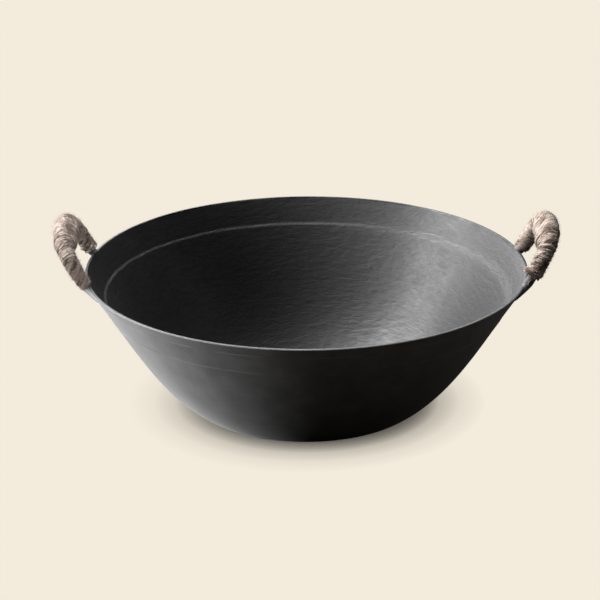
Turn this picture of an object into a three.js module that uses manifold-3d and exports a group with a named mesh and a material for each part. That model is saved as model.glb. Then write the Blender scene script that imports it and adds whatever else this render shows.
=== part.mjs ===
// Cast iron wok: a thin flat-bottomed bowl with two upright ears, each bound in one length of twine.
// Millimetres, +Z up. The origin is the centre of the flat base, on the surface that the wok stands on.
// The ears lie on the X axis. Every size below can be changed by itself.
import * as THREE from "three";
import { mergeVertices } from "three/addons/utils/BufferGeometryUtils.js";
import Module from "manifold-3d";

const wasm = await Module();
wasm.setup();

const degrees = THREE.MathUtils.degToRad;

// Outside of the bowl
const rimDiameter = 340;
const bowlHeight = 110;
const baseDiameter = 159;
const heelRadius = 16; // rounding from the flat base into the wall
const heelAngle = degrees(33); // slope of the wall where the heel ends, from the horizontal
const heelCarry = 0.312; // how far up the wall the heel's slope carries, as a share of its length
const flankAngle = degrees(55.2); // slope of the wall at the rim
const flankCarry = 0.364; // how far down the wall the rim's slope carries, as a share of its length

// Thickness of the casting
const baseThickness = 4;
const wallThickness = 3.4; // just under the band
const bandThickness = 2.2; // the thinner band under the rim, which leaves a ledge inside
const bandHeight = 19; // from the rim down to that ledge
const rimBevel = 0.22 * bandThickness;

// Ears, measured on the centreline of the bar
const earSpan = 77; // between the two legs
const earHeight = 37.6; // from the rim's level to the crown, along the ear
const earLean = degrees(30); // outwards from the vertical
const legOffset = 1.7; // outwards from the rim's edge to a leg, at the rim's level
const legDiameter = 7;
const crownDiameter = 8;
const shoulderShare = 0.76; // how squarely the legs turn into the crown, where 1 is squarest
const rootReach = 4.5; // how far a leg runs on below the rim before it turns along the wall
const rootSwell = 0.7; // extra radius where a leg turns along the wall
const toeRun = 21.5; // across the ear, from a leg to the tip of its toe
const toeReach = 0.65 * toeRun; // length of the toe that runs along the wall
const toeDrop = 8; // tips of the toes below the rim
const toeDiameter = 4;
const toeSink = 1.2; // tips of the toes inside the wall's surface, so that they fade into it
const seatGap = 0.3; // between an ear and the rim and wall that it is cast on to

// Twine on each ear
const twineTurns = 24;
const twineThickness = 2.6; // measured away from the bar
const turnGap = 0.5; // between neighbouring turns
const wrapGap = 0.4; // between the bar and the twine
const bareLeg = 2.4; // from the rim's level to the middle of the first turn, along the bar

// Fineness of the round forms
const roundSteps = 72;
const heelSteps = 3;
const wallSteps = 9;
const bandSteps = 2;
const barSides = 10;
const archSteps = 28;
const footSteps = 8;
const turnSteps = 15;

const rimRadius = rimDiameter / 2;
const baseRadius = baseDiameter / 2;
const legBearing = Math.asin(earSpan / 2 / (rimRadius + legOffset));
const toeSpan = earSpan + 2 * toeRun; // between the tips of the two toes

const ironMaterial = new THREE.MeshStandardMaterial({ color: 0x232325, roughness: 0.55, metalness: 0.6 });
const twineMaterial = new THREE.MeshStandardMaterial({ color: 0xb09a86, roughness: 0.95, metalness: 0 });

// The outside of the wall, from the end of the heel to the rim, as radius and height
function makeWallCurve() {
  const start = new THREE.Vector2(
    baseRadius + heelRadius * Math.sin(heelAngle),
    heelRadius * (1 - Math.cos(heelAngle)),
  );
  const end = new THREE.Vector2(rimRadius, bowlHeight - rimBevel);
  const heelSlope = new THREE.Vector2(Math.cos(heelAngle), Math.sin(heelAngle));
  const flankSlope = new THREE.Vector2(Math.cos(flankAngle), Math.sin(flankAngle));
  const length = start.distanceTo(end);
  const startHandle = start.clone().addScaledVector(heelSlope, heelCarry * length);
  const endHandle = end.clone().addScaledVector(flankSlope, -flankCarry * length);
  return new THREE.CubicBezierCurve(start, startHandle, endHandle, end);
}

const wallCurve = makeWallCurve();

// A point on the wall, moved outwards by an offset, or inwards by a negative one
function wallPoint(share, offset) {
  const point = wallCurve.getPoint(share);
  const slope = wallCurve.getTangent(share);
  return new THREE.Vector2(point.x + offset * slope.y, point.y - offset * slope.x);
}

// The share of the wall curve at which its offset line reaches a height
function wallShareAt(height, offset) {
  let low = 0;
  let high = 1;
  for (let halving = 0; halving < 40; halving++) {
    const middle = (low + high) / 2;
    if (wallPoint(middle, offset).y < height) {
      low = middle;
    } else {
      high = middle;
    }
  }
  return (low + high) / 2;
}

// The heel and the wall, upwards from the edge of the flat base, all moved outwards by an offset
function outsideLine(offset) {
  const points = [];
  for (let step = 0; step < heelSteps; step++) {
    const angle = heelAngle * step / heelSteps;
    points.push(heelPoint(angle, offset));
  }
  for (let step = 0; step <= wallSteps; step++) {
    points.push(wallPoint(step / wallSteps, offset));
  }
  return points;
}

function heelPoint(angle, offset) {
  const reach = heelRadius + offset;
  return new THREE.Vector2(baseRadius + reach * Math.sin(angle), heelRadius - reach * Math.cos(angle));
}

// The inside of the bowl, downwards from the rim: the band, the ledge, the wall and the heel
function insideLine() {
  const points = [];
  const ledgeShare = wallShareAt(bowlHeight - bandHeight, -bandThickness);
  const rimShare = wallShareAt(bowlHeight - rimBevel, -bandThickness);
  for (let step = 0; step <= bandSteps; step++) {
    const share = THREE.MathUtils.lerp(rimShare, ledgeShare, step / bandSteps);
    points.push(wallPoint(share, -bandThickness));
  }
  for (let step = 0; step <= wallSteps; step++) {
    const down = step / wallSteps;
    const thickness = THREE.MathUtils.lerp(wallThickness, baseThickness, down);
    points.push(wallPoint(ledgeShare * (1 - down), -thickness));
  }
  for (let step = heelSteps - 1; step >= 0; step--) {
    points.push(heelPoint(heelAngle * step / heelSteps, -baseThickness));
  }
  return points;
}

function turned(profile) {
  return new THREE.LatheGeometry(profile, roundSteps).rotateX(Math.PI / 2);
}

function bowlGeometry() {
  const inside = insideLine();
  const profile = [
    new THREE.Vector2(0, 0),
    ...outsideLine(0),
    new THREE.Vector2(rimRadius - rimBevel, bowlHeight),
    new THREE.Vector2(inside[0].x + rimBevel, bowlHeight),
    ...inside,
    new THREE.Vector2(0, baseThickness),
  ];
  return turned(profile);
}

// The space that the bowl takes up, filled in, with the ears' seat gap round it
function seatGeometry() {
  const profile = [
    new THREE.Vector2(0, -seatGap),
    ...outsideLine(seatGap),
    new THREE.Vector2(rimRadius + seatGap, bowlHeight + seatGap),
    new THREE.Vector2(0, bowlHeight + seatGap),
  ];
  return turned(profile);
}

// The way up along an ear, and the way square to its plane, for the ear on the +X side
const earUp = new THREE.Vector3(Math.sin(earLean), 0, Math.cos(earLean));
const earNormal = new THREE.Vector3(Math.cos(earLean), 0, -Math.sin(earLean));

// One half of the arch, from a leg at the rim's level to the crown
function archHalf(side) {
  const legReach = (rimRadius + legOffset) * Math.cos(legBearing);
  const leg = new THREE.Vector3(legReach, side * earSpan / 2, bowlHeight);
  const crown = new THREE.Vector3(leg.x, 0, leg.z).addScaledVector(earUp, earHeight);
  const legHandle = leg.clone().addScaledVector(earUp, shoulderShare * earHeight);
  const crownHandle = crown.clone().add(new THREE.Vector3(0, side * shoulderShare * earSpan / 2, 0));
  return [leg, legHandle, crownHandle, crown];
}

// One foot, from a leg at the rim's level to the tip of its toe on the wall
function footCurve(side) {
  const leg = archHalf(side)[0];
  const height = bowlHeight - toeDrop;
  const radius = wallPoint(wallShareAt(height, 0), 0).x - toeSink;
  const bearing = side * Math.asin(toeSpan / 2 / radius);
  const toe = new THREE.Vector3(radius * Math.cos(bearing), radius * Math.sin(bearing), height);
  const alongWall = new THREE.Vector3(-Math.sin(bearing), Math.cos(bearing), 0).multiplyScalar(side);
  const legHandle = leg.clone().addScaledVector(earUp, -rootReach);
  const toeHandle = toe.clone().addScaledVector(alongWall, -toeReach);
  return new THREE.CubicBezierCurve3(leg, legHandle, toeHandle, toe);
}

// The whole arch, from the leg at -Y over the crown to the leg at +Y
function archPath() {
  const path = new THREE.CurvePath();
  path.add(new THREE.CubicBezierCurve3(...archHalf(-1)));
  path.add(new THREE.CubicBezierCurve3(...archHalf(1).reverse()));
  return path;
}

// The bar is thickest at the crown
function barRadius(share) {
  return THREE.MathUtils.lerp(legDiameter, crownDiameter, Math.sin(Math.PI * share)) / 2;
}

// A ring of points round a centre, square to the way that it faces
function barRing(centre, heading, radius) {
  const across = earNormal.clone().addScaledVector(heading, -earNormal.dot(heading)).normalize();
  const inward = new THREE.Vector3().crossVectors(heading, across);
  const ring = [];
  for (let side = 0; side < barSides; side++) {
    const angle = 2 * Math.PI * side / barSides;
    const point = centre.clone();
    point.addScaledVector(across, radius * Math.cos(angle));
    point.addScaledVector(inward, radius * Math.sin(angle));
    ring.push(point);
  }
  return ring;
}

// A closed skin over a row of rings that have the same number of points
function loft(rings) {
  const sides = rings[0].length;
  const last = (rings.length - 1) * sides;
  const corners = [];
  for (let start = 0; start < last; start += sides) {
    for (let side = 0; side < sides; side++) {
      const here = start + side;
      const next = start + (side + 1) % sides;
      corners.push(here, next, next + sides);
      corners.push(here, next + sides, here + sides);
    }
  }
  for (let side = 1; side < sides - 1; side++) {
    corners.push(0, side + 1, side);
    corners.push(last, last + side, last + side + 1);
  }
  const geometry = new THREE.BufferGeometry().setFromPoints(rings.flat());
  geometry.setIndex(corners);
  geometry.computeVertexNormals();
  return geometry;
}

function toSolid(geometry) {
  geometry.deleteAttribute("normal");
  geometry.deleteAttribute("uv");
  const merged = mergeVertices(geometry);
  return new wasm.Manifold(new wasm.Mesh({
    numProp: 3,
    vertProperties: new Float32Array(merged.attributes.position.array),
    triVerts: new Uint32Array(merged.index.array),
  }));
}

function toGeometry(solid) {
  const mesh = solid.getMesh();
  const geometry = new THREE.BufferGeometry();
  geometry.setAttribute("position", new THREE.BufferAttribute(mesh.vertProperties, 3));
  geometry.setIndex(new THREE.BufferAttribute(mesh.triVerts, 1));
  geometry.computeVertexNormals();
  return geometry;
}

// Rings of one foot, from just below the leg to the tip of the toe
function footRings(side) {
  const curve = footCurve(side);
  const rings = [];
  for (let step = 1; step <= footSteps; step++) {
    const share = step / footSteps;
    const taper = THREE.MathUtils.lerp(legDiameter, toeDiameter, share * share);
    const radius = taper / 2 + rootSwell * Math.sin(Math.PI * share);
    const heading = curve.getTangent(share).multiplyScalar(side);
    rings.push(barRing(curve.getPoint(share), heading, radius));
  }
  return rings;
}

// The bare iron ear: one bar from toe to toe, cut to the wall that it is cast on to
function earGeometry() {
  const path = archPath();
  const arch = [];
  for (let step = 0; step <= archSteps; step++) {
    const share = step / archSteps;
    arch.push(barRing(path.getPoint(share), path.getTangent(share), barRadius(share)));
  }
  const bar = loft([...footRings(-1).reverse(), ...arch, ...footRings(1)]);
  return toGeometry(toSolid(bar).subtract(toSolid(seatGeometry())));
}

// The middle of the twine at a place along the wrapped bar and an angle round it, both in turns
function twineAt(path, place, angle) {
  const length = path.getLength();
  const wrapped = length - 2 * bareLeg;
  const share = (bareLeg + wrapped * place / twineTurns) / length;
  const inward = new THREE.Vector3().crossVectors(path.getTangent(share), earNormal);
  const outward = earNormal.clone().multiplyScalar(Math.cos(2 * Math.PI * angle));
  outward.addScaledVector(inward, Math.sin(2 * Math.PI * angle));
  const windRadius = barRadius(share) + wrapGap + twineThickness / 2;
  const centre = path.getPoint(share).addScaledVector(outward, windRadius);
  return { centre, outward };
}

// A flattened section of the twine, with its flats towards the bar and away from it
function twineRing(centre, outward, along, width) {
  const halfWidth = width / 2;
  const halfThickness = twineThickness / 2;
  const outline = [
    [halfWidth, 0],
    [halfWidth / 2, halfThickness],
    [-halfWidth / 2, halfThickness],
    [-halfWidth, 0],
    [-halfWidth / 2, -halfThickness],
    [halfWidth / 2, -halfThickness],
  ];
  return outline.map(([sideways, away]) => {
    return centre.clone().addScaledVector(along, sideways).addScaledVector(outward, away);
  });
}

// The room that a turn has between its neighbours, on its side of the bar
function turnRoom(path, turn) {
  const middle = THREE.MathUtils.clamp(turn, 0.5, twineTurns - 0.5);
  const before = twineAt(path, middle - 0.5, turn).centre;
  const after = twineAt(path, middle + 0.5, turn).centre;
  return before.distanceTo(after);
}

// Rings of the whole winding. Both of its ends run straight on for one thickness of twine.
function twineRings() {
  const path = archPath();
  const rings = [];
  const steps = twineTurns * turnSteps;
  const oneStep = 1 / turnSteps;
  for (let step = 0; step <= steps; step++) {
    const turn = step / turnSteps;
    const { centre, outward } = twineAt(path, turn, turn);
    const before = twineAt(path, turn - oneStep, turn - oneStep).centre;
    const after = twineAt(path, turn + oneStep, turn + oneStep).centre;
    const heading = after.sub(before).normalize();
    const along = new THREE.Vector3().crossVectors(outward, heading).normalize();
    const width = turnRoom(path, turn) - turnGap;
    if (step === 0) {
      const start = centre.clone().addScaledVector(heading, -twineThickness);
      rings.push(twineRing(start, outward, along, width));
    }
    rings.push(twineRing(centre, outward, along, width));
    if (step === steps) {
      const end = centre.clone().addScaledVector(heading, twineThickness);
      rings.push(twineRing(end, outward, along, width));
    }
  }
  return rings;
}

// The least distance between points of the winding that are more than half a turn apart along it
function leastGap(rings) {
  let least = Infinity;
  for (let first = 0; first < rings.length; first++) {
    for (let second = first + Math.ceil(turnSteps / 2); second < rings.length; second++) {
      for (const point of rings[first]) {
        for (const other of rings[second]) {
          least = Math.min(least, point.distanceTo(other));
        }
      }
    }
  }
  return least;
}

function makeMesh(name, geometry, material) {
  const mesh = new THREE.Mesh(geometry, material);
  mesh.name = name;
  return mesh;
}

const wok = new THREE.Group();
wok.add(makeMesh("bowl", bowlGeometry(), ironMaterial));

const ear = earGeometry();
const winding = twineRings();
const wrap = loft(winding);
console.log(`twine wraps: least gap between turns ${leastGap(winding).toFixed(2)} mm`);

const earBearings = { right: 0, left: Math.PI };
for (const [name, bearing] of Object.entries(earBearings)) {
  const earGroup = new THREE.Group();
  earGroup.rotation.z = bearing;
  earGroup.add(makeMesh(`${name}_ear`, ear, ironMaterial));
  earGroup.add(makeMesh(`${name}_twine_wrap`, wrap, twineMaterial));
  wok.add(earGroup);
}

export default wok;
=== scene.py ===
import math
import random

import bpy
import numpy as np
from mathutils import Matrix, Vector, noise


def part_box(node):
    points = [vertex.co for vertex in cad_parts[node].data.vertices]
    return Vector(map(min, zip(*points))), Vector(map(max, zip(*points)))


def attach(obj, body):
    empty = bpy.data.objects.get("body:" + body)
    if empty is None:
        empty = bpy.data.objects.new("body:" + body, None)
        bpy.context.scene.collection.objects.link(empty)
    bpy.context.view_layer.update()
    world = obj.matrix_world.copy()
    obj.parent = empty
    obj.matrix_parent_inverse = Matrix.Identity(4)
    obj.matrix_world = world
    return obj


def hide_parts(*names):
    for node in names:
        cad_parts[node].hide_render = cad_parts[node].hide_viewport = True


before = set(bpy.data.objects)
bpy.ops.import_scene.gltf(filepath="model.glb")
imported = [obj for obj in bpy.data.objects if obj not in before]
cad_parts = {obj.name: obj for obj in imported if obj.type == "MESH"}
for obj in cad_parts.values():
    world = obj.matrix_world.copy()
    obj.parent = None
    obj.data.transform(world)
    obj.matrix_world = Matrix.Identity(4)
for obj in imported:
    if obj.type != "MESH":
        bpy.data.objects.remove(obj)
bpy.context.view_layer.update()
bowl_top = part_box("bowl")[1]

# Outside of the bowl, in metres
RIM_RADIUS = bowl_top.x
BOWL_HEIGHT = bowl_top.z
BASE_RADIUS = 0.0795
HEEL_RADIUS = 0.016
HEEL_ANGLE = math.radians(33)
HEEL_CARRY = 0.312
FLANK_ANGLE = math.radians(55.2)
FLANK_CARRY = 0.364

# Thickness of the casting
BASE_THICKNESS = 0.004
WALL_THICKNESS = 0.0034
BAND_THICKNESS = 0.0022
BAND_HEIGHT = 0.019
LEDGE_WIDTH = 0.0032
SOFT_LEDGE_WIDTH = 0.011
RIM_BEVEL = 0.42 * BAND_THICKNESS
RIM_FALL = 0.0001
INNER_BEVEL = 0.0003
BEVEL_CARRY = 0.6

# The ledge is sharp on the left half, softens to the right and is soft from this share of the radius on
SOFT_FROM = 0.5

# Faint raised lines round the outside, sharp above and long below: depth under the rim and height
RAISED_LINES = ((0.0087, 0.00016), (0.0268, 0.00034))
RAISED_EDGE = 0.0010
RAISED_FADE = 0.009

# Unevenness of the raised lines round the wok: their usual share, the change in it, and its rate
RAISED_SHARE = 0.6
RAISED_CHANGE = 0.8
RAISED_RATE = 6

# Unevenness of the cast skin: lengths and heights of its broad and fine waves, and its fade at the base
SKIN_WAVES = (0.060, 0.017)
SKIN_HEIGHTS = (0.00022, 0.00005)
SKIN_SHIFT = Vector((3, 5, 7))
SKIN_FADE = 0.02

# Marks of the grinding inside: their run, their rise, the length of the broad waves, and the height
MARK_RUN = 0.0062
MARK_RISE = 0.0034
GROUND_WAVE = 0.040
GROUND_SHIFT = Vector((1, 2, 3))
GROUND_HEIGHT = 0.00014

# Ears, on the centreline of the bar
EAR_SPAN = 0.077
EAR_HEIGHT = 0.0376
EAR_LEAN = math.radians(30)
LEG_OFFSET = 0.0017
LEG_DIAMETER = 0.007
CROWN_DIAMETER = 0.008
SHOULDER_SHARE = 0.76
ROOT_REACH = 0.0026
ROOT_SWELL = 0.0003
TOE_RUN = 0.027
TOE_REACH = 0.65 * TOE_RUN
TOE_DROP = 0.0046
TOE_DIAMETER = 0.0024
TOE_TAPER = 0.8
TOE_TIP = 0.2
TOE_TIP_LEAST = 0.02
TOE_SINK = 0.0010
MOST_SUNK = 0.0014

# Twine, wound from the leg at -Y over the crown to the leg at +Y, and turned half round on the left ear.
# Its fibres slant by some radians in a metre.
TWINE_TURNS = 28
TWINE_THICKNESS = 0.0026
TWINE_OVERLAP = 1.08
THIN_LENGTH = 0.034
WRAP_GAP = 0.0002
FIBRE_SLANT = 260

# Turns heap up inside the crown, from a share of the arch on, and are thicker where they crowd
CROWN_PILE = 0.0085
PILE_FROM = 0.20
PILE_RUN = 0.20
CROWDING = (1.05, 1.3)
CROWDING_POWER = 0.8

# Both ends of the twine are tucked under, and a tied end has a knot: swelling, place and spread in turns
TUCK_TURNS = 0.4
TUCK_SIZE = 0.6
TUCK_HEIGHT = 0.45
KNOT_SWELL = 0.6
KNOT_TURN = 0.3
KNOT_SPREAD = 0.5

# Strands of the twine, as shares of its half width and half thickness
STRANDS = 6
STRAND_WIDTH = 0.27
STRAND_HEIGHT = 0.55
STRAND_CREST = 0.42
STRAND_FALL = 0.40
STRAND_SEED_STEP = 10

# What wanders along the twine: by how much, how fast, and from which seed on
THICKNESS_WANDER = (0.22, 0.9, 0)
PLACE_WANDER = (0.22, 0.7, 20)
WIDTH_WANDER = (0.12, 0.8, 30)
STRAND_SIDE_WANDER = (0.30, 0.9, 40)
STRAND_SIZE_WANDER = (0.35, 1.4, 60)
STRAND_RISE_WANDER = (0.34, 1.1, 100)

# Thin loose end: its two places on the arch, angle in turns, sway, least gap and greatest lift
LOOSE_END = (0.0095, 0.0003)
LOOSE_END_RADIUS = 0.00035
LOOSE_TURN = 0.74
LOOSE_SWAY = 0.03
LOOSE_GAP = 0.0004
LOOSE_LIFT = 0.0022

# Standing fibres: least and greatest length and radius, and shares of the twine that they root in.
# A nudge keeps the way out of the twine off the fibre's own line.
HAIRS = 2600
HAIR_LENGTHS = (0.0014, 0.0042)
HAIR_RADII = (0.00004, 0.00009)
HAIR_TAPER = 0.75
HAIR_BEND = 0.3
HAIR_ROOT = 0.40
HAIR_SPREAD = 0.45
HAIR_LEAN = 0.9
HAIR_STAND = (0.05, 0.6)
HAIR_NUDGE = 0.01

# Fineness of the turned and lofted meshes
WALL_STEPS = 2000
ARCH_STEPS = 600
ROUND_STEPS = 264
BASE_RINGS = 14
BASE_FIRST_RADIUS = 0.006
HEEL_RINGS = 10
OUTSIDE_RINGS = 118
LINE_RINGS = 9
RIM_RINGS = 7
CAST_RIM_RINGS = 2
INSIDE_RINGS = 132
LEDGE_RINGS = 13
INSIDE_HEEL_RINGS = 9
FLOOR_RINGS = 40
FLOOR_LAST_RADIUS = 0.004
BAR_SIDES = 24
ARCH_RINGS = 64
FOOT_RINGS = 26
STEPS_PER_TURN = 48
STRAND_SIDES = 9
LOOSE_STEPS = 30
HAIR_STEPS = 5
HAIR_SIDES = 3

# Colours, as linear red, green and blue
CREAM = (0.896, 0.831, 0.716)
FLOOR_DIM = (0.05, 0.046, 0.04)
IRON_DARK = (0.058, 0.058, 0.059)
IRON_PALE = (0.104, 0.104, 0.106)
# Paler colour of the raised lines: partly wear, partly a painted highlight where light catches them
IRON_WORN_HIGHLIT = (0.170, 0.170, 0.173)
GROUND_DARK = (0.009, 0.009, 0.010)
GROUND_PALE = (0.022, 0.022, 0.023)
TWINE_BROWN = (0.085, 0.056, 0.043)
TWINE_MID = (0.285, 0.225, 0.188)
TWINE_PALE = (0.430, 0.362, 0.315)

# Camera: in front, with a long lens, and with the middle of the rim at one pixel of the picture
CAMERA_DISTANCE = 2.2
CAMERA_ELEVATION = math.radians(20.3)
CAMERA_ROLL = math.radians(-0.32)
FOCAL_PIXELS = 2862
IMAGE_PIXELS = 600
RIM_CENTRE_PIXEL = (306.6, 267.4)
SENSOR_WIDTH = 36

# Floor, and the contact shadow on it: its reaches, its brightness at the base and its lean
FLOOR_SIDE = 24.0
SHADOW_REACHES = (0.0108, 0.0216, 0.036)
SHADOW_DEPTH = 0.06
SHADOW_LEAN = 0.3
OCCLUSION_RAYS = 8

# The floor in gloss: reach and fall of its painted shadow of the wok, and brightness
GLOSS_REACH = 0.288
GLOSS_FALL = 3
GLOSS_LIGHT = 0.25

# Strength of the world as a light and in gloss
WORLD_LIGHT = 0.012
WORLD_GLOSS = 0.03

# Far lamps: name, azimuth, elevation, strength and width in degrees
SUNS = (
    ("high", 100, 40, 1.15, 32),
    ("hot", 118, 47, 4.6, 14),
    ("top", 95, 70, 0.7, 30),
    ("zenith", 0, 88, 0.10, 40),
    ("front", 55, 65, 0.14, 40),
    ("side_back", 150, 19, 2.0, 45),
    ("back", 172, 46, 3.2, 45),
    ("right", 270, 30, 0.09, 45),
)
SUN_DISTANCE = 3.0

# Near lamps: strength, azimuth and elevation, in degrees; the two keys share a distance and a size
IRON_KEY = (33, 92, 10)
TWINE_KEY = (10, 93, 12)
KEY_DISTANCE = 0.9
KEY_SIZE = 0.74
EAR_LAMP = (35, 322, 38)
EAR_LAMP_DISTANCE = 1.6
EAR_LAMP_WIDTH = 6.5
EAR_LAMP_RADIUS = 0.03

# Each ear: name, on the left or not, seed, bare lengths, share of thickness at its last leg, tied or not
EARS = (
    ("right", False, 7, 0.0065, 0.0004, 0.9, True),
    ("left", True, 207, 0.0030, 0.0012, 0.6, False),
)


# Curves

def curve_point(handles, share):
    """Points on a cubic curve at shares of it from 0 to 1"""
    start, leave, arrive, end = (np.asarray(handle, float) for handle in handles)
    t = np.asarray(share, float)[..., None]
    u = 1 - t
    return start * u**3 + 3 * leave * u * u * t + 3 * arrive * u * t * t + end * t**3


def curve_slope(handles, share):
    """Unit tangents of a cubic curve"""
    start, leave, arrive, end = (np.asarray(handle, float) for handle in handles)
    t = np.asarray(share, float)[..., None]
    u = 1 - t
    return unit((leave - start) * u * u + 2 * (arrive - leave) * u * t + (end - arrive) * t * t)


def unit(vectors):
    return vectors / np.linalg.norm(vectors, axis=-1, keepdims=True)


def smooth_step(x):
    x = np.clip(x, 0, 1)
    return x * x * (3 - 2 * x)


def lengths_along(points):
    steps = np.linalg.norm(np.diff(points, axis=0), axis=1)
    return np.concatenate([[0], np.cumsum(steps)])


# The wall's outside, from the end of the heel to the rim, as radius and height

def make_wall():
    start = np.array([
        BASE_RADIUS + HEEL_RADIUS * math.sin(HEEL_ANGLE),
        HEEL_RADIUS * (1 - math.cos(HEEL_ANGLE)),
    ])
    end = np.array([RIM_RADIUS, BOWL_HEIGHT - RIM_BEVEL])
    length = np.linalg.norm(end - start)
    heel_slope = np.array([math.cos(HEEL_ANGLE), math.sin(HEEL_ANGLE)])
    flank_slope = np.array([math.cos(FLANK_ANGLE), math.sin(FLANK_ANGLE)])
    leave = start + heel_slope * HEEL_CARRY * length
    arrive = end - flank_slope * FLANK_CARRY * length
    return start, leave, arrive, end


WALL = make_wall()
WALL_SHARES = np.linspace(0, 1, WALL_STEPS + 1)
WALL_LENGTHS = lengths_along(curve_point(WALL, WALL_SHARES))


def wall_point(share, offset):
    """A point on the wall, moved outwards by an offset, or inwards by a negative one"""
    slope = curve_slope(WALL, share)
    outward = np.stack([slope[..., 1], -slope[..., 0]], -1)
    return curve_point(WALL, share) + outward * np.asarray(offset)[..., None]


def wall_share_at(height, offset):
    """The share of the wall at which it has a height, when moved by an offset"""
    heights = wall_point(WALL_SHARES, np.full(len(WALL_SHARES), offset))[:, 1]
    return float(np.interp(height, heights, WALL_SHARES))


def heel_arc(offset, angles):
    reach = HEEL_RADIUS + offset
    return np.stack([BASE_RADIUS + reach * np.sin(angles), HEEL_RADIUS - reach * np.cos(angles)], -1)


# Profile of the bowl

def outside_profile():
    """From near the middle of the base to the rim"""
    base_radii = np.linspace(BASE_FIRST_RADIUS, BASE_RADIUS, BASE_RINGS)[:-1]
    base = np.stack([base_radii, np.zeros_like(base_radii)], -1)
    heel = heel_arc(0, np.linspace(0, HEEL_ANGLE, HEEL_RINGS)[:-1])
    shares = np.linspace(0, 1, OUTSIDE_RINGS)
    for depth, _ in RAISED_LINES:
        middle = wall_share_at(BOWL_HEIGHT - depth, 0)
        reach = 2 * RAISED_EDGE / WALL_LENGTHS[-1]
        shares = np.concatenate([shares, np.linspace(middle - reach, middle + reach, LINE_RINGS)])
    return np.concatenate([base, heel, curve_point(WALL, np.unique(shares))])


def raised_height(height):
    """How far the raised lines stand out of the wall at a height"""
    raised = 0.0
    for depth, rise in RAISED_LINES:
        below = BOWL_HEIGHT - height - depth
        fade = math.exp(-max(below, 0) / RAISED_FADE)
        raised += rise * float(smooth_step(below / RAISED_EDGE + 1)) * fade
    return raised


def rim_profile(outer, inner):
    """Over the top of the rim, with both of its edges eased"""
    up = np.array([math.cos(FLANK_ANGLE), math.sin(FLANK_ANGLE)])
    inwards = np.array([-1, 0])
    outer_top = np.array([outer[0] - RIM_BEVEL, BOWL_HEIGHT - RIM_FALL])
    inner_top = np.array([inner[0] + INNER_BEVEL, BOWL_HEIGHT])
    outer_ease = BEVEL_CARRY * RIM_BEVEL
    inner_ease = BEVEL_CARRY * INNER_BEVEL
    outer_edge = (outer, outer + up * outer_ease, outer_top - inwards * outer_ease, outer_top)
    inner_edge = (inner_top, inner_top + inwards * inner_ease, inner + up * inner_ease, inner)
    shares = np.linspace(0, 1, RIM_RINGS)
    return np.concatenate([curve_point(outer_edge, shares[1:]), curve_point(inner_edge, shares[:-1])])


def inside_profile(ledge_width):
    """From the rim down over the band, the ledge and the wall to near the middle of the floor"""
    rim_share = wall_share_at(BOWL_HEIGHT - INNER_BEVEL, -BAND_THICKNESS)
    ledge_share = wall_share_at(BOWL_HEIGHT - BAND_HEIGHT, -BAND_THICKNESS)
    ledge_spread = LEDGE_WIDTH / WALL_LENGTHS[-1]
    shares = np.concatenate([
        np.linspace(0, rim_share, INSIDE_RINGS),
        np.linspace(ledge_share - ledge_spread, ledge_share + ledge_spread, LEDGE_RINGS),
    ])
    shares = np.unique(shares)[::-1]
    lengths = np.interp(shares, WALL_SHARES, WALL_LENGTHS)
    ledge_length = np.interp(ledge_share, WALL_SHARES, WALL_LENGTHS)
    below = smooth_step((ledge_length - lengths) / ledge_width + 0.5)
    down = np.clip(1 - lengths / ledge_length, 0, 1)
    wall = WALL_THICKNESS + (BASE_THICKNESS - WALL_THICKNESS) * down
    thickness = BAND_THICKNESS + (wall - BAND_THICKNESS) * below
    heel = heel_arc(-BASE_THICKNESS, np.linspace(HEEL_ANGLE, 0, INSIDE_HEEL_RINGS)[1:])
    floor_radii = np.linspace(BASE_RADIUS, FLOOR_LAST_RADIUS, FLOOR_RINGS)[1:]
    floor = np.stack([floor_radii, np.full_like(floor_radii, BASE_THICKNESS)], -1)
    return np.concatenate([wall_point(shares, -thickness), heel, floor])


def casting_wobble(point):
    """Unevenness of the cast skin, which fades out towards the flat base"""
    broad = noise.noise(point / SKIN_WAVES[0])
    fine = noise.noise(point / SKIN_WAVES[1] + SKIN_SHIFT)
    return float(smooth_step(point.z / SKIN_FADE)) * (SKIN_HEIGHTS[0] * broad + SKIN_HEIGHTS[1] * fine)


def ground_wobble(point, along):
    """Shallow marks of the grinding, longer round the bowl than up it"""
    marks = noise.noise(Vector((point.x / MARK_RUN, point.y / MARK_RUN, along / MARK_RISE)))
    broad = noise.noise(point / GROUND_WAVE + GROUND_SHIFT)
    return GROUND_HEIGHT * (marks + broad)


def mesh_object(name, vertices, faces, materials):
    mesh = bpy.data.meshes.new(name)
    mesh.from_pydata([tuple(vertex) for vertex in vertices], [], faces)
    mesh.validate()
    for material in materials:
        mesh.materials.append(material)
    mesh.polygons.foreach_set("use_smooth", [True] * len(mesh.polygons))
    made = bpy.data.objects.new(name, mesh)
    bpy.context.scene.collection.objects.link(made)
    return made


def dress(made, slot, *nodes):
    """The piece rides with the wok and stands in for its solids"""
    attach(made, "root")
    if nodes:
        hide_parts(*nodes)


def ring_faces(first_ring, last_ring, sides):
    """Faces between neighbouring rings of points"""
    faces = []
    for ring in range(first_ring, last_ring):
        for side in range(sides):
            here = ring * sides + side
            beside = ring * sides + (side + 1) % sides
            faces.append((here, beside, beside + sides, here + sides))
    return faces


def fan_faces(ring, sides, middle, turned_over):
    """Faces from one ring of points to a point in its middle"""
    faces = []
    for side in range(sides):
        here = ring * sides + side
        beside = ring * sides + (side + 1) % sides
        faces.append((beside, here, middle) if turned_over else (here, beside, middle))
    return faces


def line_share(x, y):
    """The share of their height that the raised lines have on one bearing"""
    change = noise.noise(Vector((RAISED_RATE * x, RAISED_RATE * y, 0)))
    return max(RAISED_SHARE + RAISED_CHANGE * change, 0)


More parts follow.
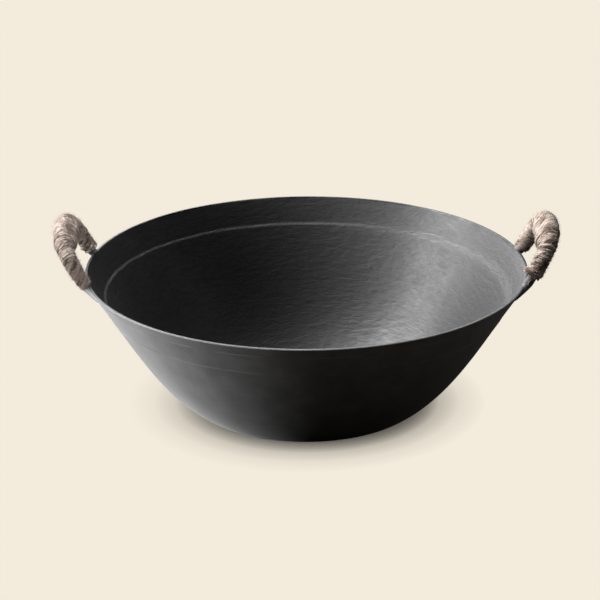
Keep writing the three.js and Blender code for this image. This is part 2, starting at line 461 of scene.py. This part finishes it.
def bowl_points(profile, soft_profile, first_inside):
    """Rings of points round the wok, uneven as a casting outside and as ground iron inside"""
    slope = unit(np.gradient(profile, axis=0))
    along = lengths_along(profile)
    points = []
    for ring in range(len(profile)):
        out_r, out_z = slope[ring][1], -slope[ring][0]
        for angle in np.linspace(0, 2 * math.pi, ROUND_STEPS, endpoint=False):
            x, y = math.cos(angle), math.sin(angle)
            softness = smooth_step(x / SOFT_FROM)
            radius, height = profile[ring] + (soft_profile[ring] - profile[ring]) * softness
            point = Vector((radius * x, radius * y, height))
            if ring >= first_inside:
                move = ground_wobble(point, along[ring])
            else:
                move = casting_wobble(point) + raised_height(height) * line_share(x, y)
            points.append(point + move * Vector((out_r * x, out_r * y, out_z)))
    return points


def make_bowl(cast, ground):
    outside = outside_profile()
    inside = inside_profile(LEDGE_WIDTH)
    rim = rim_profile(outside[-1], inside[0])
    profile = np.concatenate([outside, rim, inside])
    soft_profile = np.concatenate([outside, rim, inside_profile(SOFT_LEDGE_WIDTH)])
    vertices = bowl_points(profile, soft_profile, len(outside) + len(rim))
    base_middle = len(vertices)
    vertices.append((0, 0, 0))
    vertices.append((0, 0, BASE_THICKNESS))
    first_ground = len(outside) + CAST_RIM_RINGS
    last = len(profile) - 1
    cast_faces = fan_faces(0, ROUND_STEPS, base_middle, True) + ring_faces(0, first_ground, ROUND_STEPS)
    ground_faces = ring_faces(first_ground, last, ROUND_STEPS)
    ground_faces += fan_faces(last, ROUND_STEPS, base_middle + 1, False)
    bowl = mesh_object("iron_bowl", vertices, cast_faces + ground_faces, [cast, ground])
    for face in bowl.data.polygons[len(cast_faces):]:
        face.material_index = 1
    dress(bowl, "cast_iron", "bowl")
    return bowl


# Ears

EAR_UP = np.array([math.sin(EAR_LEAN), 0, math.cos(EAR_LEAN)])
EAR_NORMAL = np.array([math.cos(EAR_LEAN), 0, -math.sin(EAR_LEAN)])
LEG_BEARING = math.asin(EAR_SPAN / 2 / (RIM_RADIUS + LEG_OFFSET))


def arch_half(side):
    """One half of the arch, from a leg at the rim's level to the crown, for the ear on the +X side"""
    leg = np.array([(RIM_RADIUS + LEG_OFFSET) * math.cos(LEG_BEARING), side * EAR_SPAN / 2, BOWL_HEIGHT])
    crown = np.array([leg[0], 0, leg[2]]) + EAR_UP * EAR_HEIGHT
    leave = leg + EAR_UP * SHOULDER_SHARE * EAR_HEIGHT
    arrive = crown + np.array([0, side * SHOULDER_SHARE * EAR_SPAN / 2, 0])
    return leg, leave, arrive, crown


def foot_curve(side):
    """One foot, from a leg at the rim's level to the tip of its toe on the wall"""
    leg = arch_half(side)[0]
    height = BOWL_HEIGHT - TOE_DROP
    radius = wall_point(wall_share_at(height, 0), 0.0)[0] - TOE_SINK
    bearing = side * math.asin((EAR_SPAN / 2 + TOE_RUN) / radius)
    toe = np.array([radius * math.cos(bearing), radius * math.sin(bearing), height])
    along_wall = side * np.array([-math.sin(bearing), math.cos(bearing), 0])
    return leg, leg - EAR_UP * ROOT_REACH, toe - along_wall * TOE_REACH, toe


def make_arch():
    """Points along the whole arch, from the leg at -Y over the crown, and how far along it they lie"""
    shares = np.linspace(0, 1, ARCH_STEPS)
    near = curve_point(arch_half(-1), shares)
    far = curve_point(arch_half(1), shares[::-1])
    points = np.concatenate([near, far[1:]])
    return points, lengths_along(points)


ARCH_POINTS, ARCH_LENGTHS = make_arch()
ARCH_LENGTH = ARCH_LENGTHS[-1]
ARCH_SLOPES = unit(np.gradient(ARCH_POINTS, ARCH_LENGTHS, axis=0))


def on_arch(lengths, table):
    """Points or slopes of the arch at lengths along it"""
    return np.stack([np.interp(lengths, ARCH_LENGTHS, table[:, axis]) for axis in range(3)], -1)


def bar_radius(lengths):
    bulge = np.sin(math.pi * np.clip(lengths / ARCH_LENGTH, 0, 1))
    return (LEG_DIAMETER + (CROWN_DIAMETER - LEG_DIAMETER) * bulge) / 2


def loft(rings):
    """Vertices and faces of a closed skin over a row of rings, with a middle point at each tip"""
    count, sides = rings.shape[:2]
    vertices = [tuple(point) for point in rings.reshape(-1, 3)]
    first_tip = len(vertices)
    vertices.append(tuple(rings[0].mean(axis=0)))
    vertices.append(tuple(rings[-1].mean(axis=0)))
    faces = ring_faces(0, count - 1, sides)
    faces += fan_faces(0, sides, first_tip, True)
    faces += fan_faces(count - 1, sides, first_tip + 1, False)
    return vertices, faces


def bar_rings(centres, headings, radii):
    """Round rings along the bar of an ear"""
    across = unit(EAR_NORMAL - headings * (headings @ EAR_NORMAL)[:, None])
    inward = np.cross(headings, across)
    angles = np.linspace(0, 2 * math.pi, BAR_SIDES, endpoint=False)
    towards_across = across[:, None] * np.cos(angles)[None, :, None]
    towards_inward = inward[:, None] * np.sin(angles)[None, :, None]
    return centres[:, None] + (towards_across + towards_inward) * radii[:, None, None]


def foot_rings(side):
    curve = foot_curve(side)
    shares = np.linspace(0, 1, FOOT_RINGS + 1)[1:]
    taper = LEG_DIAMETER + (TOE_DIAMETER - LEG_DIAMETER) * shares**TOE_TAPER
    radii = taper / 2 + ROOT_SWELL * np.sin(math.pi * shares)
    tip = smooth_step((shares - 1 + TOE_TIP) / TOE_TIP)
    radii = radii * np.sqrt(np.clip(1 + TOE_TIP_LEAST - tip, TOE_TIP_LEAST, 1))
    return bar_rings(curve_point(curve, shares), side * curve_slope(curve, shares), radii)


def keep_in_wall(point):
    """A point of an ear, moved out where it lies deep enough in the wall to come through it"""
    radius = math.hypot(point[0], point[1])
    if point[2] > BOWL_HEIGHT - RIM_BEVEL:
        return point
    share = wall_share_at(point[2], 0)
    slope = curve_slope(WALL, share)
    least = wall_point(share, 0.0)[0] - MOST_SUNK / slope[1]
    if radius >= least:
        return point
    return (point[0] * least / radius, point[1] * least / radius, point[2])


def half_turn(vertices):
    """The same points on the left side of the wok"""
    return [(-x, -y, z) for x, y, z in vertices]


def make_ear(name, turned, cast):
    lengths = np.linspace(0, ARCH_LENGTH, ARCH_RINGS)
    headings = unit(on_arch(lengths, ARCH_SLOPES))
    arch = bar_rings(on_arch(lengths, ARCH_POINTS), headings, bar_radius(lengths))
    rings = np.concatenate([foot_rings(-1)[::-1], arch, foot_rings(1)])
    vertices, faces = loft(rings)
    vertices = [keep_in_wall(vertex) for vertex in vertices]
    if turned:
        vertices = half_turn(vertices)
    ear = mesh_object(f"iron_{name}_ear", vertices, faces, [cast])
    dress(ear, "cast_iron", f"{name}_ear")
    return ear


# Twine

def wander(turns, kind, seed):
    """A smooth random value along the winding, about as large each way as its kind says"""
    size, rate, seed_step = kind
    return size * np.array([noise.noise(Vector((turn * rate, seed + seed_step, 0.5))) for turn in turns])


def around_bar(lengths, turns):
    """The way out from the bar at an angle in turns"""
    heading = unit(on_arch(lengths, ARCH_SLOPES))
    inward = np.cross(heading, EAR_NORMAL)
    angle = 2 * math.pi * turns
    return EAR_NORMAL * np.cos(angle)[:, None] + inward * np.sin(angle)[:, None]


def from_legs(lengths):
    """How far places on the arch are from the nearer leg"""
    return np.minimum(lengths, ARCH_LENGTH - lengths)


def pile(lengths, turns):
    """Extra height of the winding inside the arch, where its turns crowd and climb over each other"""
    crown = smooth_step((from_legs(lengths) / ARCH_LENGTH - PILE_FROM) / PILE_RUN)
    return CROWN_PILE * crown * np.clip(np.sin(2 * math.pi * turns), 0, 1) ** 2


class Winding:
    """Middle line, way out, width and thickness of one ear's twine, from its first turn to its last"""

    def __init__(self, seed, first_bare, last_bare, last_thin, tied):
        self.seed = seed
        self.bare = (first_bare, last_bare)
        self.tied = tied
        turns = np.arange(TWINE_TURNS * STEPS_PER_TURN + 1) / STEPS_PER_TURN
        lengths = self.length_at(turns + wander(turns, PLACE_WANDER, seed))
        room = self.room(np.clip(turns, 0.5, TWINE_TURNS - 0.5))
        tuck = smooth_step(np.minimum(turns, TWINE_TURNS - turns) / TUCK_TURNS)
        tucked_size = TUCK_SIZE + (1 - TUCK_SIZE) * tuck
        tucked_height = TUCK_HEIGHT + (1 - TUCK_HEIGHT) * tuck
        full = self.full_thickness(turns, lengths, room, last_thin)
        reach = bar_radius(lengths) + WRAP_GAP + full / 2 * tucked_height + pile(lengths, turns)
        self.turns = turns
        self.lengths = lengths
        self.thickness = full * tucked_size
        self.width = room * (TWINE_OVERLAP + wander(turns, WIDTH_WANDER, seed)) * tucked_size
        self.outward = around_bar(lengths, turns)
        self.centres = on_arch(lengths, ARCH_POINTS) + self.outward * reach[:, None]
        self.heading = unit(np.gradient(self.centres, axis=0))
        self.beside = unit(np.cross(self.outward, self.heading))

    def full_thickness(self, turns, lengths, room, last_thin):
        """Thickness of the twine before its ends are tucked, thinner towards the last leg"""
        taper = last_thin + (1 - last_thin) * smooth_step((ARCH_LENGTH - lengths) / THIN_LENGTH)
        crowding = np.clip(room.mean() / room, *CROWDING) ** CROWDING_POWER
        uneven = 1 + wander(turns, THICKNESS_WANDER, self.seed)
        knot = 1 + KNOT_SWELL * self.tied * np.exp(-((turns - KNOT_TURN) / KNOT_SPREAD) ** 2)
        return TWINE_THICKNESS * taper * crowding * uneven * knot

    def length_at(self, turns):
        first, last = self.bare
        return first + (ARCH_LENGTH - first - last) * turns / TWINE_TURNS

    def room(self, turns):
        """The room that a turn has between its neighbours, on its side of the bar"""
        ends = []
        for shift in (-0.5, 0.5):
            lengths = np.clip(self.length_at(turns + shift), 0, ARCH_LENGTH)
            reach = bar_radius(lengths) + WRAP_GAP + TWINE_THICKNESS / 2
            ends.append(on_arch(lengths, ARCH_POINTS) + around_bar(lengths, turns) * reach[:, None])
        return np.linalg.norm(ends[1] - ends[0], axis=1)


def tube_rings(centres, outward, half_widths, half_thicknesses, sides):
    """Oval rings along a strand, flat side out"""
    heading = unit(np.gradient(centres, axis=0))
    beside = unit(np.cross(outward, heading))
    above = np.cross(heading, beside)
    angles = np.linspace(0, 2 * math.pi, sides, endpoint=False)
    across = beside[:, None] * (np.cos(angles)[None, :] * half_widths[:, None])[..., None]
    upwards = above[:, None] * (np.sin(angles)[None, :] * half_thicknesses[:, None])[..., None]
    return centres[:, None] + across + upwards


class Skein:
    """Lofted strands in one mesh, with their place along the bar and, slanting, round it"""

    def __init__(self):
        self.vertices = []
        self.faces = []
        self.lay = []

    def add(self, rings, lengths, turns):
        vertices, faces = loft(rings)
        start = len(self.vertices)
        self.vertices += vertices
        self.faces += [tuple(corner + start for corner in face) for face in faces]
        angles = 2 * math.pi * turns - FIBRE_SLANT * lengths
        lay = np.stack([lengths, np.cos(angles), np.sin(angles)], -1)
        self.lay += [place for place in lay for _ in range(rings.shape[1])]
        self.lay += [lay[0], lay[-1]]

    def make(self, name, turned, material):
        vertices = half_turn(self.vertices) if turned else self.vertices
        made = mesh_object(name, vertices, self.faces, [material])
        lay = made.data.attributes.new("lay", "FLOAT_VECTOR", "POINT")
        lay.data.foreach_set("vector", np.array(self.lay).ravel())
        return made


def add_loose_end(skein):
    """A thin end of the twine that hangs from the first turn down the front of the leg"""
    lengths = np.linspace(*LOOSE_END, LOOSE_STEPS)
    shares = np.linspace(0, 1, LOOSE_STEPS)
    turns = LOOSE_TURN + LOOSE_SWAY * np.sin(2 * math.pi * shares)
    outward = around_bar(lengths, turns)
    reach = bar_radius(lengths) + LOOSE_GAP + LOOSE_LIFT * (1 - shares) ** 2
    middle = on_arch(lengths, ARCH_POINTS) + outward * reach[:, None]
    radii = np.full(LOOSE_STEPS, LOOSE_END_RADIUS)
    skein.add(tube_rings(middle, outward, radii, radii, STRAND_SIDES), lengths, turns)


def make_twine(name, turned, winding, material):
    """The twine of one ear, as loose strands side by side that are highest in the middle of a turn"""
    skein = Skein()
    turns = winding.turns
    half_width = winding.width / 2
    half_thickness = winding.thickness / 2
    for strand in range(STRANDS):
        seed = winding.seed + STRAND_SEED_STEP * strand
        across = 2 * (strand + 0.5) / STRANDS - 1 + wander(turns, STRAND_SIDE_WANDER, seed)
        above = STRAND_CREST - STRAND_FALL * across**2 + wander(turns, STRAND_RISE_WANDER, seed)
        sideways = (half_width * across)[:, None]
        upwards = (half_thickness * above)[:, None]
        middle = winding.centres + winding.beside * sideways + winding.outward * upwards
        size = 1 + wander(turns, STRAND_SIZE_WANDER, seed)
        strand_width = half_width * STRAND_WIDTH * size
        strand_height = half_thickness * STRAND_HEIGHT * size
        rings = tube_rings(middle, winding.outward, strand_width, strand_height, STRAND_SIDES)
        skein.add(rings, winding.lengths + half_width * across, turns)
    if winding.tied:
        add_loose_end(skein)
    wrap = skein.make(f"{name}_twine", turned, material)
    dress(wrap, "twine", f"{name}_twine_wrap")
    return wrap


def add_hair(skein, winding, draw):
    """One loose fibre, from a random place on the twine"""
    shares = np.linspace(0, 1, HAIR_STEPS)
    tucked_steps = STEPS_PER_TURN // 3
    at = draw.randrange(tucked_steps, len(winding.turns) - tucked_steps)
    out, heading, side = winding.outward[at], winding.heading[at], winding.beside[at]
    root = winding.centres[at] + out * winding.thickness[at] * HAIR_ROOT
    root = root + side * winding.width[at] * draw.uniform(-HAIR_SPREAD, HAIR_SPREAD)
    way = heading * draw.choice((-1, 1)) + side * draw.uniform(-HAIR_LEAN, HAIR_LEAN)
    way = unit(way + out * draw.uniform(*HAIR_STAND))
    bend = unit(np.array([draw.uniform(-1, 1) for _ in range(3)]))
    length = draw.uniform(*HAIR_LENGTHS)
    straight = way * (length * shares)[:, None]
    curl = bend * (HAIR_BEND * length * shares**2)[:, None]
    radii = draw.uniform(*HAIR_RADII) * (1 - HAIR_TAPER * shares)
    above = np.tile(out + HAIR_NUDGE, (HAIR_STEPS, 1))
    rings = tube_rings(root + straight + curl, above, radii, radii, HAIR_SIDES)
    lengths = np.full(HAIR_STEPS, winding.lengths[at])
    turns = np.full(HAIR_STEPS, winding.turns[at])
    skein.add(rings, lengths, turns)


def make_hairs(name, turned, winding, material):
    """Loose fibres that stand off the twine"""
    draw = random.Random(winding.seed)
    skein = Skein()
    for _ in range(HAIRS):
        add_hair(skein, winding, draw)
    hairs = skein.make(f"{name}_twine_hairs", turned, material)
    dress(hairs, "twine")
    return hairs


# Materials

def new_material(name):
    material = bpy.data.materials.new(name)
    material.use_nodes = True
    tree = material.node_tree
    return material, tree, tree.nodes["Principled BSDF"]


def add(tree, kind, inputs=None, **settings):
    """A new node, with each input linked to a socket or set to a value"""
    node = tree.nodes.new(kind)
    for key, value in settings.items():
        setattr(node, key, value)
    for key, value in (inputs or {}).items():
        if isinstance(value, bpy.types.NodeSocket):
            tree.links.new(value, node.inputs[key])
        else:
            node.inputs[key].default_value = value
    return node


def math_node(tree, operation, *values):
    node = add(tree, "ShaderNodeMath", dict(enumerate(values)), operation=operation)
    return node.outputs[0]


def vector_node(tree, operation, *values):
    node = add(tree, "ShaderNodeVectorMath", dict(enumerate(values)), operation=operation)
    return node.outputs[0]


def noise_at(tree, vector, scale, detail, distortion=0.0):
    inputs = {"Vector": vector, "Scale": scale, "Detail": detail, "Roughness": 0.55}
    inputs["Distortion"] = distortion
    return add(tree, "ShaderNodeTexNoise", inputs).outputs["Fac"]


def ramp(tree, factor, stops):
    """A colour that runs through stops, each a place from 0 to 1 and its colour"""
    node = add(tree, "ShaderNodeValToRGB", {"Fac": factor})
    elements = node.color_ramp.elements
    while len(elements) < len(stops):
        elements.new(0.5)
    for element, (place, colour) in zip(elements, stops):
        element.position = place
        element.color = (*colour, 1)
    return node.outputs["Color"]


def spread(tree, value, old, new):
    """A value, moved from an old range to a new one"""
    inputs = {"Value": value, "From Min": old[0], "From Max": old[1], "To Min": new[0], "To Max": new[1]}
    return add(tree, "ShaderNodeMapRange", inputs).outputs["Result"]


def total(tree, *parts):
    """The sum of values times their weights"""
    result = 0.0
    for value, weight in parts:
        result = math_node(tree, "MULTIPLY_ADD", value, weight, result)
    return result


def bump(tree, height, strength, distance):
    inputs = {"Height": height, "Strength": strength, "Distance": distance}
    return add(tree, "ShaderNodeBump", inputs).outputs["Normal"]


def worn_highlit_lines(tree, place, colour):
    """The colour of the skin, with the raised lines paler in places: partly wear, partly a painted
    highlight
    """
    height = add(tree, "ShaderNodeSeparateXYZ", {0: place}).outputs["Z"]
    # Broken patches along the raised lines, painted paler as wear and as a painted highlight
    scuffs_and_highlight = spread(tree, noise_at(tree, place, scale=30, detail=4), (0.40, 0.68), (0, 1))
    for depth, _ in RAISED_LINES:
        off = math_node(tree, "SUBTRACT", height, BOWL_HEIGHT - depth)
        off = math_node(tree, "ABSOLUTE", off)
        close = spread(tree, off, (0, RAISED_EDGE), (1, 0))
        inputs = {"Factor": math_node(tree, "MULTIPLY", close, scuffs_and_highlight), "A": colour, "B": (*IRON_WORN_HIGHLIT, 1)}
        colour = add(tree, "ShaderNodeMix", inputs, data_type="RGBA").outputs["Result"]
    return colour


def cast_iron():
    """The outside: a dull black casting skin with a fine grain"""
    material, tree, shader = new_material("cast_iron_skin")
    place = add(tree, "ShaderNodeTexCoord").outputs["Object"]
    patches = noise_at(tree, place, scale=55, detail=4)
    grain = noise_at(tree, place, scale=900, detail=2)
    pits = noise_at(tree, place, scale=260, detail=3)
    tone = total(tree, (patches, 0.75), (grain, 0.25))
    skin_colour = ramp(tree, tone, ((0.32, IRON_DARK), (0.70, IRON_PALE)))
    relief = total(tree, (grain, 0.4), (pits, 0.6))
    tree.links.new(worn_highlit_lines(tree, place, skin_colour), shader.inputs["Base Color"])
    tree.links.new(spread(tree, patches, (0.3, 0.7), (0.62, 0.74)), shader.inputs["Roughness"])
    tree.links.new(bump(tree, relief, strength=0.35, distance=0.00025), shader.inputs["Normal"])
    shader.inputs["Specular IOR Level"].default_value = 0.20
    shader.inputs["Sheen Weight"].default_value = 0.21
    shader.inputs["Sheen Roughness"].default_value = 0.4
    return material


def grinding_marks(tree, place):
    """Streaks from coarse and fine marks that are longer round the bowl than up it"""
    split = add(tree, "ShaderNodeSeparateXYZ", {0: place}).outputs
    flat = add(tree, "ShaderNodeCombineXYZ", {"X": split["X"], "Y": split["Y"]}).outputs[0]
    radius = add(tree, "ShaderNodeVectorMath", {0: flat}, operation="LENGTH").outputs["Value"]
    up = math_node(tree, "ADD", radius, split["Z"])
    marks = []
    for run, rise in ((150, 290), (350, 700)):
        wide = vector_node(tree, "MULTIPLY", flat, (run, run, run))
        lift = add(tree, "ShaderNodeCombineXYZ", {"Z": math_node(tree, "MULTIPLY", up, rise)}).outputs[0]
        where = vector_node(tree, "ADD", wide, lift)
        marks.append(noise_at(tree, where, scale=1, detail=2, distortion=0.6))
    return total(tree, (marks[0], 0.82), (marks[1], 0.18))


def ground_iron():
    """The inside: ground iron with short marks that run round the bowl"""
    material, tree, shader = new_material("ground_iron")
    place = add(tree, "ShaderNodeTexCoord").outputs["Object"]
    patches = noise_at(tree, place, scale=38, detail=4)
    streaks = grinding_marks(tree, place)
    tone = total(tree, (patches, 0.45), (streaks, 0.55))
    colour = ramp(tree, tone, ((0.34, GROUND_DARK), (0.66, GROUND_PALE)))
    tree.links.new(colour, shader.inputs["Base Color"])
    tree.links.new(spread(tree, tone, (0.3, 0.7), (0.58, 0.36)), shader.inputs["Roughness"])
    tree.links.new(bump(tree, streaks, strength=0.58, distance=0.0006), shader.inputs["Normal"])
    shader.inputs["Specular IOR Level"].default_value = 0.36
    return material


def twine_fibre():
    """Dry natural twine, with fibres that slant over its strands, pale in places and brown in others"""
    material, tree, shader = new_material("twine_fibre")
    lay = add(tree, "ShaderNodeAttribute", attribute_name="lay").outputs["Vector"]
    place = add(tree, "ShaderNodeTexCoord").outputs["Object"]
    stretched = vector_node(tree, "MULTIPLY", lay, (150, 1.7, 1.7))
    fibres = noise_at(tree, stretched, scale=1, detail=3)
    blotches = noise_at(tree, place, scale=170, detail=3)
    tone = total(tree, (fibres, 0.7), (blotches, 0.3))
    colour = ramp(tree, tone, ((0.43, TWINE_BROWN), (0.50, TWINE_MID), (0.58, TWINE_PALE)))
    tree.links.new(colour, shader.inputs["Base Color"])
    tree.links.new(bump(tree, fibres, strength=0.4, distance=0.0003), shader.inputs["Normal"])
    shader.inputs["Roughness"].default_value = 0.92
    shader.inputs["Specular IOR Level"].default_value = 0.15
    shader.inputs["Sheen Weight"].default_value = 0.15
    return material


def twine_fuzz():
    """Loose fibres, in the middle and pale colours of the twine"""
    material, tree, shader = new_material("twine_fuzz")
    place = add(tree, "ShaderNodeTexCoord").outputs["Object"]
    tone = noise_at(tree, place, scale=300, detail=2)
    colour = ramp(tree, tone, ((0.35, TWINE_MID), (0.65, TWINE_PALE)))
    tree.links.new(colour, shader.inputs["Base Color"])
    shader.inputs["Roughness"].default_value = 0.9
    return material


def open_sky(tree, reach, normal):
    """How open a place on the floor is to the sky within a reach"""
    inputs = {"Distance": reach, "Normal": normal}
    return add(tree, "ShaderNodeAmbientOcclusion", inputs, samples=OCCLUSION_RAYS).outputs["AO"]


def floor_light(tree, to_camera):
    """Brightness of the floor: with a painted contact shadow to the camera, and dimmer in gloss, with a
    wider painted shadow near the wok
    """
    normal = add(tree, "ShaderNodeNewGeometry").outputs["Normal"]
    lean = vector_node(tree, "ADD", normal, (-SHADOW_LEAN, 0, 0))
    lean = vector_node(tree, "NORMALIZE", lean)
    weight = 1 / len(SHADOW_REACHES)
    near = total(tree, *((open_sky(tree, reach, lean), weight) for reach in SHADOW_REACHES))
    shadow = spread(tree, near, (0, 1), (SHADOW_DEPTH, 1))
    wide = math_node(tree, "POWER", open_sky(tree, GLOSS_REACH, lean), GLOSS_FALL)
    wide = math_node(tree, "MULTIPLY", wide, GLOSS_LIGHT)
    return add(tree, "ShaderNodeMix", {"Factor": to_camera, "A": wide, "B": shadow}).outputs["Result"]


def floor_material():
    """A cream floor that shines by itself to the camera, gloss and glass, and is dim to other light"""
    material = bpy.data.materials.new("floor")
    material.use_nodes = True
    tree = material.node_tree
    tree.nodes.clear()
    path = add(tree, "ShaderNodeLightPath").outputs
    to_camera = path["Is Camera Ray"]
    seen = math_node(tree, "MAXIMUM", to_camera, path["Is Glossy Ray"])
    seen = math_node(tree, "MAXIMUM", seen, path["Is Transmission Ray"])
    inputs = {"Color": (*CREAM, 1), "Strength": floor_light(tree, to_camera)}
    glow = add(tree, "ShaderNodeEmission", inputs).outputs[0]
    dim = add(tree, "ShaderNodeBsdfDiffuse", {"Color": (*FLOOR_DIM, 1)}).outputs[0]
    both = add(tree, "ShaderNodeMixShader", {0: seen, 1: dim, 2: glow}).outputs[0]
    add(tree, "ShaderNodeOutputMaterial", {"Surface": both})
    return material


# Stage

def make_floor():
    reach = FLOOR_SIDE / 2
    corners = [(-reach, -reach, 0), (reach, -reach, 0), (reach, reach, 0), (-reach, reach, 0)]
    floor = mesh_object("floor", corners, [(0, 1, 2, 3)], [floor_material()])


def place_lamp(lamp, target, azimuth, elevation, distance):
    """Put a lamp at a distance from what it lights. Azimuth 0 is the wok's front and 90 its left."""
    made = bpy.data.objects.new(lamp.name, lamp)
    turn, rise = math.radians(azimuth), math.radians(elevation)
    towards = Vector((-math.sin(turn) * math.cos(rise), -math.cos(turn) * math.cos(rise), math.sin(rise)))
    made.location = Vector(target) + towards * distance
    made.rotation_mode = "QUATERNION"
    made.rotation_quaternion = towards.to_track_quat("Z", "Y")
    made.visible_camera = False
    bpy.context.scene.collection.objects.link(made)
    return made


def make_key(name, strength, azimuth, elevation, lit):
    """A large soft lamp that stands close on the left and is kept to some of the pieces"""
    lamp = bpy.data.lights.new(name, "AREA")
    lamp.energy = strength
    lamp.shape = "DISK"
    lamp.size = KEY_SIZE
    made = place_lamp(lamp, (0, 0, BOWL_HEIGHT), azimuth, elevation, KEY_DISTANCE)
    receivers = bpy.data.collections.new(name + "_receivers")
    for piece in lit:
        receivers.objects.link(piece)
    made.light_linking.receiver_collection = receivers


def make_sun(name, azimuth, elevation, strength, width):
    """A soft far lamp"""
    lamp = bpy.data.lights.new(name, "SUN")
    lamp.energy = strength
    lamp.angle = math.radians(width)
    place_lamp(lamp, (0, 0, BOWL_HEIGHT), azimuth, elevation, SUN_DISTANCE)


def make_ear_lamp(strength, azimuth, elevation):
    """A small lamp that is kept to the left ear"""
    lamp = bpy.data.lights.new("ear_lamp", "SPOT")
    lamp.energy = strength
    lamp.spot_size = math.radians(EAR_LAMP_WIDTH)
    lamp.spot_blend = 1.0
    lamp.shadow_soft_size = EAR_LAMP_RADIUS
    ear = (-RIM_RADIUS - LEG_OFFSET, 0, BOWL_HEIGHT + EAR_HEIGHT / 2)
    place_lamp(lamp, ear, azimuth, elevation, EAR_LAMP_DISTANCE)


def make_world():
    """The backdrop: cream to the camera, dim in gloss and glass, and nearly dark as a light"""
    world = bpy.data.worlds.new("studio")
    world.use_nodes = True
    tree = world.node_tree
    path = add(tree, "ShaderNodeLightPath").outputs
    gloss = math_node(tree, "MAXIMUM", path["Is Glossy Ray"], path["Is Transmission Ray"])
    dim = spread(tree, gloss, (0, 1), (WORLD_LIGHT, WORLD_GLOSS))
    inputs = {"Factor": path["Is Camera Ray"], "A": dim, "B": 1.0}
    strength = add(tree, "ShaderNodeMix", inputs).outputs["Result"]
    backdrop = tree.nodes["Background"]
    backdrop.inputs["Color"].default_value = (*CREAM, 1)
    tree.links.new(strength, backdrop.inputs["Strength"])
    bpy.context.scene.world = world


def make_camera():
    middle = Vector((0, 0, BOWL_HEIGHT))
    back = Vector((0, -math.cos(CAMERA_ELEVATION), math.sin(CAMERA_ELEVATION)))
    right = Vector((1, 0, 0))
    up = back.cross(right)
    metres_per_pixel = CAMERA_DISTANCE / FOCAL_PIXELS
    from_middle_x = (IMAGE_PIXELS / 2 - RIM_CENTRE_PIXEL[0]) * metres_per_pixel
    from_middle_y = (RIM_CENTRE_PIXEL[1] - IMAGE_PIXELS / 2) * metres_per_pixel
    aim = middle + right * from_middle_x + up * from_middle_y
    data = bpy.data.cameras.new("camera")
    data.sensor_width = SENSOR_WIDTH
    data.lens = SENSOR_WIDTH * FOCAL_PIXELS / IMAGE_PIXELS
    camera = bpy.data.objects.new("camera", data)
    camera.location = middle + back * CAMERA_DISTANCE
    look = (aim - camera.location).to_track_quat("-Z", "Y").to_matrix()
    camera.rotation_mode = "QUATERNION"
    camera.rotation_quaternion = (look @ Matrix.Rotation(CAMERA_ROLL, 3, "Z")).to_quaternion()
    bpy.context.scene.collection.objects.link(camera)
    bpy.context.scene.camera = camera


bpy.context.scene.view_settings.view_transform = "Standard"
make_camera()
make_world()
make_floor()
for sun in SUNS:
    make_sun(*sun)
make_ear_lamp(*EAR_LAMP)

skin = cast_iron()
ground = ground_iron()
fibre = twine_fibre()
fuzz = twine_fuzz()
iron = [make_bowl(skin, ground)]
twine = []
for name, turned, seed, first_bare, last_bare, last_thin, tied in EARS:
    iron.append(make_ear(name, turned, skin))
    winding = Winding(seed, first_bare, last_bare, last_thin, tied)
    twine.append(make_twine(name, turned, winding, fibre))
    twine.append(make_hairs(name, turned, winding, fuzz))
make_key("key", *IRON_KEY, iron)
make_key("twine_key", *TWINE_KEY, twine)
